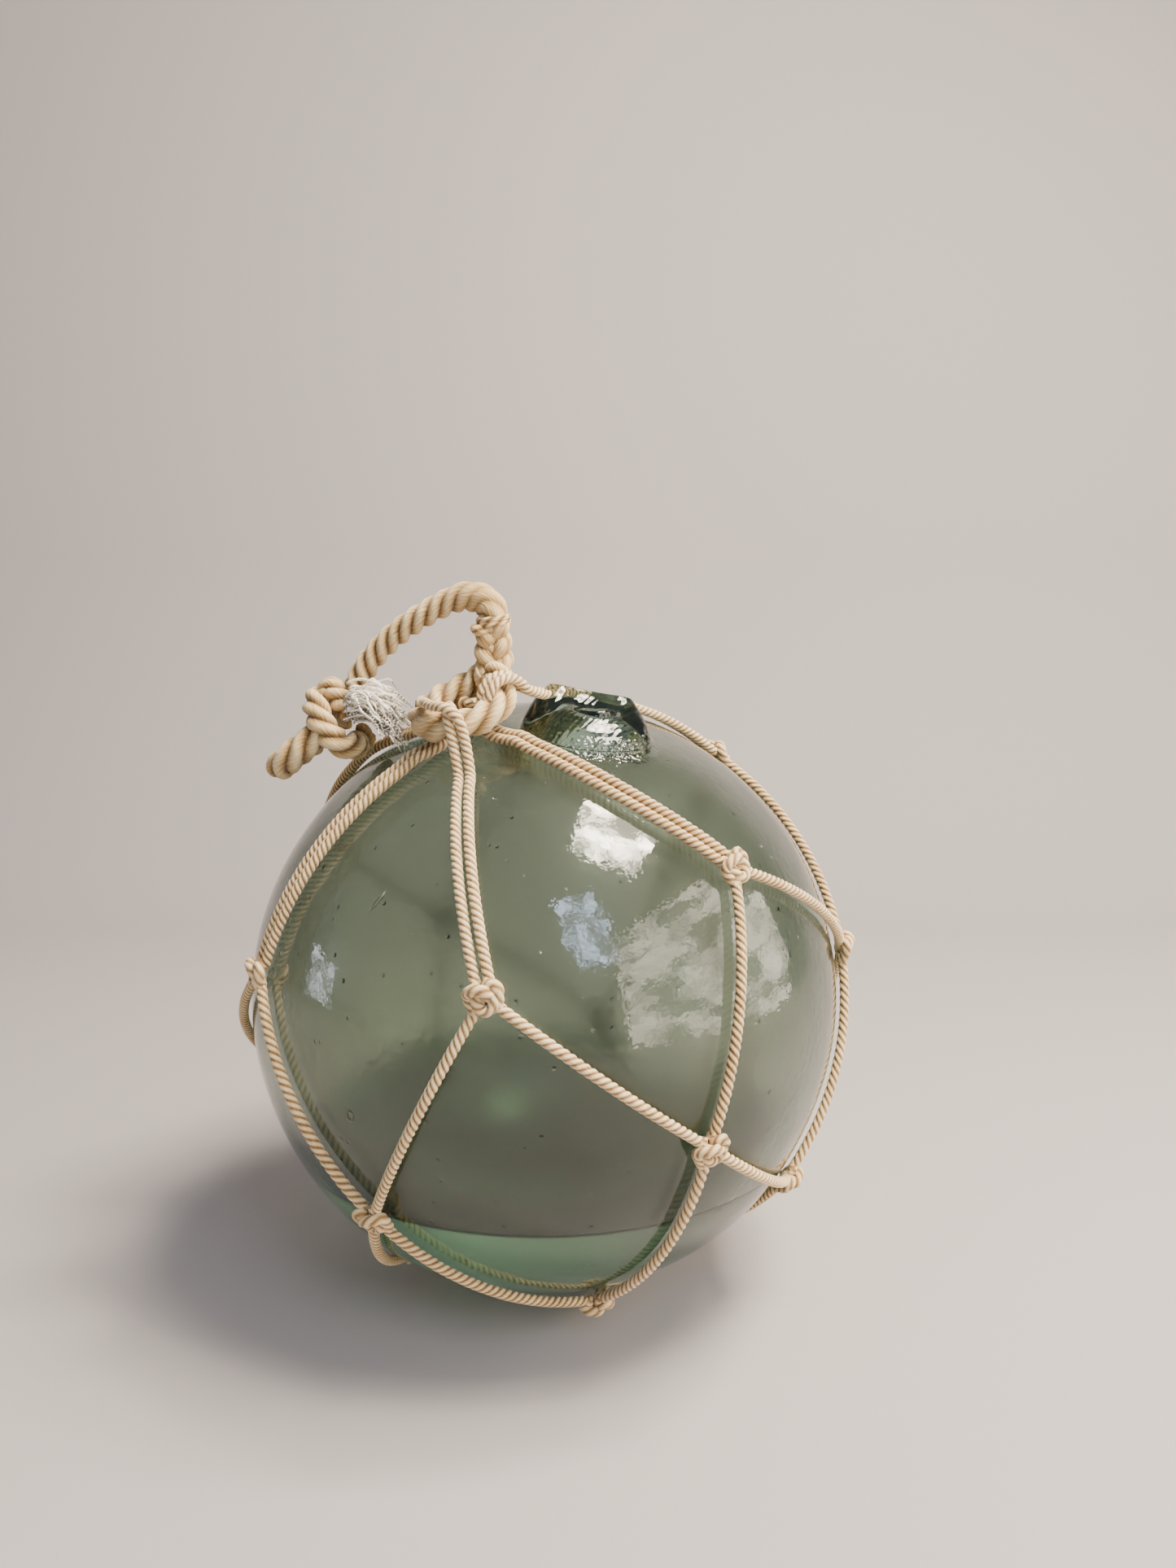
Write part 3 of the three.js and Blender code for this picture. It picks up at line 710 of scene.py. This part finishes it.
def blown_outside(rings=170, columns=224):
    """Outside of the float on a grid of (way from the seal's middle, turn about it).

    The first rings follow the seal's profile of radius and height, and the others the circle of the
    ball to the far side. The back of the rim is raised and cut by slanted planes where it broke.
    """
    turn = 2 * np.pi * np.arange(columns) / columns
    profile = np.array(SEAL_PROFILE) * (SEAL_RADIUS, SEAL_HEIGHT)
    foot = 1.03 * SEAL_RADIUS
    sag = np.sqrt(BALL_RADIUS**2 - foot**2) - BALL_RADIUS
    profile = np.vstack([profile, (SEAL_RADIUS, -0.9), (foot, sag)])
    line = smooth(np.column_stack([profile, np.zeros(len(profile))]), 0.25)[:, :2]
    spread = np.linspace(np.arcsin(foot / BALL_RADIUS), np.pi, rings)[1:]
    r = np.concatenate([line[:, 0], BALL_RADIUS * np.sin(spread)])[:, None]
    h = np.concatenate([line[:, 1], BALL_RADIUS * np.cos(spread) - BALL_RADIUS])[:, None]
    near = np.clip((1.3 * SEAL_RADIUS - r) / (0.3 * SEAL_RADIUS), 0, 1) * (h > -5)
    x = r * np.cos(turn) * (1 + 0.05 * near * np.cos(2 * turn))
    y = r * np.sin(turn) * (1 + near * (0.02 * np.cos(3 * turn) + 0.22 * np.minimum(np.sin(turn), 0)))
    broken = np.maximum(0.0, np.sin(turn - 0.3)) ** 1.5 * (0.9 + 0.1 * np.sin(5 * turn))
    raised = SEAL_CREST * broken * (r / SEAL_RADIUS) * np.clip(h / SEAL_HEIGHT, 0, 1) * near
    lens = 1 - ((x - 1.2) / 4.4) ** 2 - ((y + 0.5) / 2.7) ** 2
    sloped = np.interp(r, np.linspace(0.0, 1.0, 8) * SEAL_RADIUS, np.array(SEAL_FRONT) * SEAL_HEIGHT)
    facing = np.clip(0.72 - 1.1 * np.sin(turn), 0, 1) ** 0.8 * (h > -0.5)
    height = h + (sloped - h) * facing + raised
    height = height + near * (1.4 * np.sqrt(np.clip(lens, 0, 1)) - 0.6 * np.exp(-((lens / 0.25) ** 2)))
    rough = 0.05 * np.sin(1.1 * x + 0.5 * y) * np.sin(1.3 * y - 0.6 * x) + 0.06 * np.sin(3.7 * x - 2.9 * y)
    front = np.clip(np.cos(turn + 1.1), 0, 1) ** 2 * np.clip((r / SEAL_RADIUS - 0.8) / 0.1, 0, 1)
    height = height + near * (h > 0.3) * rough * (0.35 + 2.5 * front)
    for right, back, level, slope in CHIPS:
        plane = level - slope * ((x - 4 * right) * right + (y - 4 * back) * back)
        cut = np.minimum(height, np.maximum(plane, 0.4 * height))
        height = np.where((near > 0) & (h > 0.5) & (back * y > 2.0), cut, height)
    surface = x[..., None] * seal_right + y[..., None] * seal_back
    surface = surface + (BALL_RADIUS + height)[..., None] * seal_up
    ways = unit(surface)
    return surface + ways * (waves(ways, 0.16) * (1 - near))[..., None], near * front


def closed_grid(grid, outwards=True):
    """Vertices, quads and end triangles of a grid of rings whose first and last rings close to a point."""
    rings, columns = grid.shape[:2]
    i, j = (a.ravel() for a in np.meshgrid(np.arange(rings - 1), np.arange(columns), indexing="ij"))
    k = (j + 1) % columns
    quads = np.stack([i * columns + j, (i + 1) * columns + j, (i + 1) * columns + k, i * columns + k], axis=1)
    ring = np.arange(columns)
    top, bottom = rings * columns, rings * columns + 1
    tris = np.vstack([
        np.stack([np.full(columns, top), ring, (ring + 1) % columns], axis=1),
        np.stack([np.full(columns, bottom), (rings - 1) * columns + (ring + 1) % columns,
                  (rings - 1) * columns + ring], axis=1),
    ])
    verts = np.vstack([grid.reshape(-1, 3), grid[0].mean(0), grid[-1].mean(0)])
    if not outwards:
        quads, tris = quads[:, ::-1], tris[:, ::-1]
    return verts, quads, tris


def ball_ways(rings, columns, first=0.0, last=np.pi):
    """Directions on a grid of (angle from straight up, turn), without the two poles."""
    polar = np.linspace(first, last, rings + 2)[1:-1, None]
    turn = 2 * np.pi * np.arange(columns)[None] / columns
    return np.stack([np.sin(polar) * np.cos(turn), np.sin(polar) * np.sin(turn),
                     np.cos(polar) * np.ones_like(turn)], axis=-1)


outside, crackled = blown_outside()
cavity_ways = ball_ways(110, 160)
cavity = cavity_ways * (BALL_RADIUS - WALL + waves(cavity_ways[..., ::-1], 0.32))[..., None]
shell_parts = []
for grid, outwards, crackle in (
    (outside[1:-1], True, crackled[1:-1]), (cavity, False, np.zeros(cavity.shape[:2])),
):
    verts, quads, tris = closed_grid(grid, outwards)
    depth = np.concatenate([crackle.ravel(), [0, 0]])
    shell_parts.append({"verts": verts, "quads": quads, "tris": tris, "uv": np.zeros((4 * len(quads), 2)),
                        "depth": depth})

# Nearly clear in a single wall and sea green through the thick seal. The inside is misted, but for a
# clear patch round the seal.
bottle_glass, shader, output = new_material("blown_sea_green_glass")
link = bottle_glass.node_tree.links.new
# The grey-green base colour dims the light at each face of the glass: partly a film of grime inside, partly
# painted shade that darkens the ball as if the wall behind it were in shadow.
shader.inputs["Base Color"].default_value = linear("#b3baad")
shader.inputs["IOR"].default_value = 1.5
shader.inputs["Transmission Weight"].default_value = 1.0
tint = add_node(bottle_glass, "ShaderNodeVolumeAbsorption", Color=(0.24, 0.76, 0.66, 1.0), Density=24.0)
link(tint.outputs["Volume"], output.inputs["Volume"])
# The skin swells every 18 mm, is grained every 2 mm, and has pits 6 mm apart. Each bubble is a long low
# lens, and the cold front rim of the seal is crazed in grains of 1 mm.
place = add_node(bottle_glass, "ShaderNodeTexCoord").outputs["Object"]
peel = add_node(bottle_glass, "ShaderNodeTexNoise", Vector=place, Scale=420.0, Detail=2.0).outputs["Fac"]
pits = add_node(bottle_glass, "ShaderNodeTexVoronoi", Vector=place, Scale=170.0).outputs["Distance"]
pit = ramp(bottle_glass, pits, [(0.0, "#000000"), (0.09, "#ffffff"), (1.0, "#ffffff")])
swell = add_node(bottle_glass, "ShaderNodeTexNoise", Vector=place, Scale=55.0, Detail=1.0).outputs["Fac"]
uneven = add_node(bottle_glass, "ShaderNodeBump", Strength=0.5, Distance=0.0006, Height=swell)
skin = add_node(bottle_glass, "ShaderNodeBump", Strength=0.16, Distance=0.0004, Height=peel,
                Normal=uneven.outputs["Normal"])
pitted = add_node(bottle_glass, "ShaderNodeBump", Strength=1.0, Distance=0.0004, Height=pit,
                  Normal=skin.outputs["Normal"])
skin_normal = pitted.outputs["Normal"]
for bearing, elevation, half_length, half_width, lean in BUBBLES:
    up = direction(bearing, elevation)
    level = unit(np.cross((0.0, 0.0, 1.0), up))
    along = math.cos(math.radians(lean)) * level + math.sin(math.radians(lean)) * np.cross(up, level)
    turned = Matrix(np.column_stack([along, np.cross(up, along), up]).tolist()).to_euler()
    hollow = add_node(bottle_glass, "ShaderNodeMapping", {"vector_type": "TEXTURE"}, Vector=place,
                      Rotation=turned, Location=(up * BALL_RADIUS + BALL_CENTRE) * 0.001,
                      Scale=(half_length * 0.001, half_width * 0.001, 0.002)).outputs["Vector"]
    domed = add_node(bottle_glass, "ShaderNodeTexGradient", {"gradient_type": "SPHERICAL"},
                     Vector=hollow).outputs["Fac"]
    edge = ramp(bottle_glass, domed, [(0.0, "#000000"), (0.3, "#ffffff"), (0.7, "#808080")])
    skin_normal = add_node(bottle_glass, "ShaderNodeBump", Strength=1.0, Distance=0.0006, Height=edge,
                           Normal=skin_normal).outputs["Normal"]
crackle = add_node(bottle_glass, "ShaderNodeTexNoise", Vector=place, Scale=1100.0, Detail=0.0)
chilled = add_node(bottle_glass, "ShaderNodeAttribute", {"attribute_name": "depth"}).outputs["Fac"]
masked = add_node(bottle_glass, "ShaderNodeMath", {"operation": "MULTIPLY"},
                  i0=crackle.outputs["Fac"], i1=chilled)
crazed = add_node(bottle_glass, "ShaderNodeBump", Strength=0.5, Distance=0.0012, Height=masked.outputs[0],
                  Normal=skin_normal)
link(crazed.outputs["Normal"], shader.inputs["Normal"])
misted = add_node(bottle_glass, "ShaderNodeAttribute", {"attribute_name": "tint"}).outputs["Fac"]
haze = add_node(bottle_glass, "ShaderNodeMath", {"operation": "MULTIPLY_ADD"}, i0=misted, i1=0.17, i2=0.06)
link(haze.outputs[0], shader.inputs["Roughness"])
clear_of_seal = np.clip((np.degrees(np.arccos(unit(shell_parts[1]["verts"]) @ seal_up)) - 12.0) / 8.0, 0, 1)
float_shell = made_piece("glass_shell", shell_parts, bottle_glass, [0.0, clear_of_seal])
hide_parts("glass_float")
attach(float_shell, "root")


# Sea water has seeped in through the seal and stands a quarter of the way up inside. Its surface is
# level, and climbs a little up the glass all round.
WATER_LEVEL = -34.2
wet_edge = np.arccos(WATER_LEVEL / (BALL_RADIUS - WALL))
lower_ways = ball_ways(60, 128, wet_edge - 0.022, np.pi)
wet_wall = lower_ways * (BALL_RADIUS - WALL + 0.25 + waves(lower_ways[..., ::-1], 0.32))[..., None]
rim = wet_wall[0]
inward = np.linspace(1.0, 0.0, 26)[1:-1, None, None]
rim_rise = rim[None, :, 2:] - WATER_LEVEL
top = np.concatenate([rim[None, :, :2] * inward,
                      WATER_LEVEL + rim_rise * np.exp(-(1 - inward) * 26.0)], axis=-1)
verts, quads, tris = closed_grid(np.concatenate([top[::-1], wet_wall]), True)
# Clear water that takes a green tint over the width of the ball.
sea_water, shader, output = new_material("still_sea_water")
shader.inputs["Base Color"].default_value = linear("#f7fdfb")
shader.inputs["Roughness"].default_value = 0.0
shader.inputs["IOR"].default_value = 1.333
shader.inputs["Transmission Weight"].default_value = 1.0
tint = add_node(sea_water, "ShaderNodeVolumeAbsorption", Color=(0.2, 0.86, 0.64, 1.0), Density=7.0)
sea_water.node_tree.links.new(tint.outputs["Volume"], output.inputs["Volume"])
water = made_piece("sealed_water", [{
    "verts": verts, "quads": quads, "tris": tris, "uv": np.zeros((4 * len(quads), 2)),
    "depth": np.zeros(len(verts)),
}], sea_water)
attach(water, "root")


# A pale matt floor that curves up behind, under a soft sky, with a tall window to the upper right.
def sweep(width=3.0, front=-1.2, bend=0.34, radius=0.22, height=1.8):
    """Floor, quarter bend and wall: points on a line in Y and Z, carried along X."""
    angle = np.linspace(0, np.pi / 2, 24)
    line = np.vstack([
        [(front, 0.0)], np.column_stack([bend + radius * np.sin(angle), radius - radius * np.cos(angle)]),
        [(bend + radius, height)],
    ])
    x = np.array([-width, width])
    return np.concatenate([np.column_stack([np.full(len(line), side), line]) for side in x]), len(line)


points, count = sweep()
mesh = bpy.data.meshes.new("studio_sweep")
step = np.arange(count - 1)
faces = np.stack([step, step + count, step + count + 1, step + 1], axis=1)
mesh.from_pydata(points.tolist(), [], faces.tolist())
mesh.polygons.foreach_set("use_smooth", np.ones(len(mesh.polygons), bool))
matt_paper, shader, _ = new_material("pale_matt_paper")
shader.inputs["Base Color"].default_value = linear("#aca6a6")
shader.inputs["Roughness"].default_value = 0.9
mesh.materials.append(matt_paper)
studio = bpy.data.objects.new("studio_sweep", mesh)
bpy.context.scene.collection.objects.link(studio)

world = bpy.data.worlds.new("soft_sky")
bpy.context.scene.world = world
world.use_nodes = True
world.node_tree.nodes["Background"].inputs["Color"].default_value = linear("#dde3eb")
world.node_tree.nodes["Background"].inputs["Strength"].default_value = 0.42


LIT_POINT = (0.0, 0.0, 0.09)


def soft_window(name, place, size, power, colour, roll, streaks):
    """A rectangular area light that faces the ball, with streaks of light and shade across it."""
    data = bpy.data.lights.new(name, "AREA")
    data.shape = "RECTANGLE"
    data.size, data.size_y = size
    data.energy = power
    data.color = linear(colour)[:3]
    data.use_nodes = True
    spot = add_node(data, "ShaderNodeNewGeometry").outputs["Parametric"]
    drawn = add_node(data, "ShaderNodeMapping", Vector=spot, Rotation=(0.0, 0.0, 0.5), Scale=streaks)
    cloud = add_node(data, "ShaderNodeTexNoise", Vector=drawn.outputs["Vector"], Scale=1.0,
                     Detail=3.0).outputs["Fac"]
    shade = add_node(data, "ShaderNodeMapRange", i0=cloud, i1=0.42, i2=0.6, i3=0.12, i4=1.6).outputs[0]
    data.node_tree.links.new(shade, data.node_tree.nodes["Emission"].inputs["Strength"])
    lamp = bpy.data.objects.new(name, data)
    lamp.location = place
    away = Vector(LIT_POINT) - Vector(place)
    lamp.rotation_mode = "QUATERNION"
    lamp.rotation_quaternion = away.to_track_quat("-Z", "Y") @ Quaternion((0.0, 0.0, 1.0), math.radians(roll))
    bpy.context.scene.collection.objects.link(lamp)


soft_window("tall_window", (0.275, -0.14, 0.72), (0.34, 0.27), 27.0, "#fff1dc", 22.0, (2.5, 2.0, 1.0))
soft_window("front_window", (0.22, -0.60, 0.53), (0.2, 0.34), 2.4, "#cfe0ff", 10.0, (2.0, 3.0, 1.0))
soft_window("side_fill", (-0.75, -0.05, 0.12), (0.2, 0.16), 0.5, "#eef3ff", 0.0, (2.0, 3.0, 1.0))
soft_window("room_wall", (0.68, -0.30, 0.16), (1.1, 0.9), 20.0, "#fff1dc", 0.0, (4.0, 9.0, 1.0))
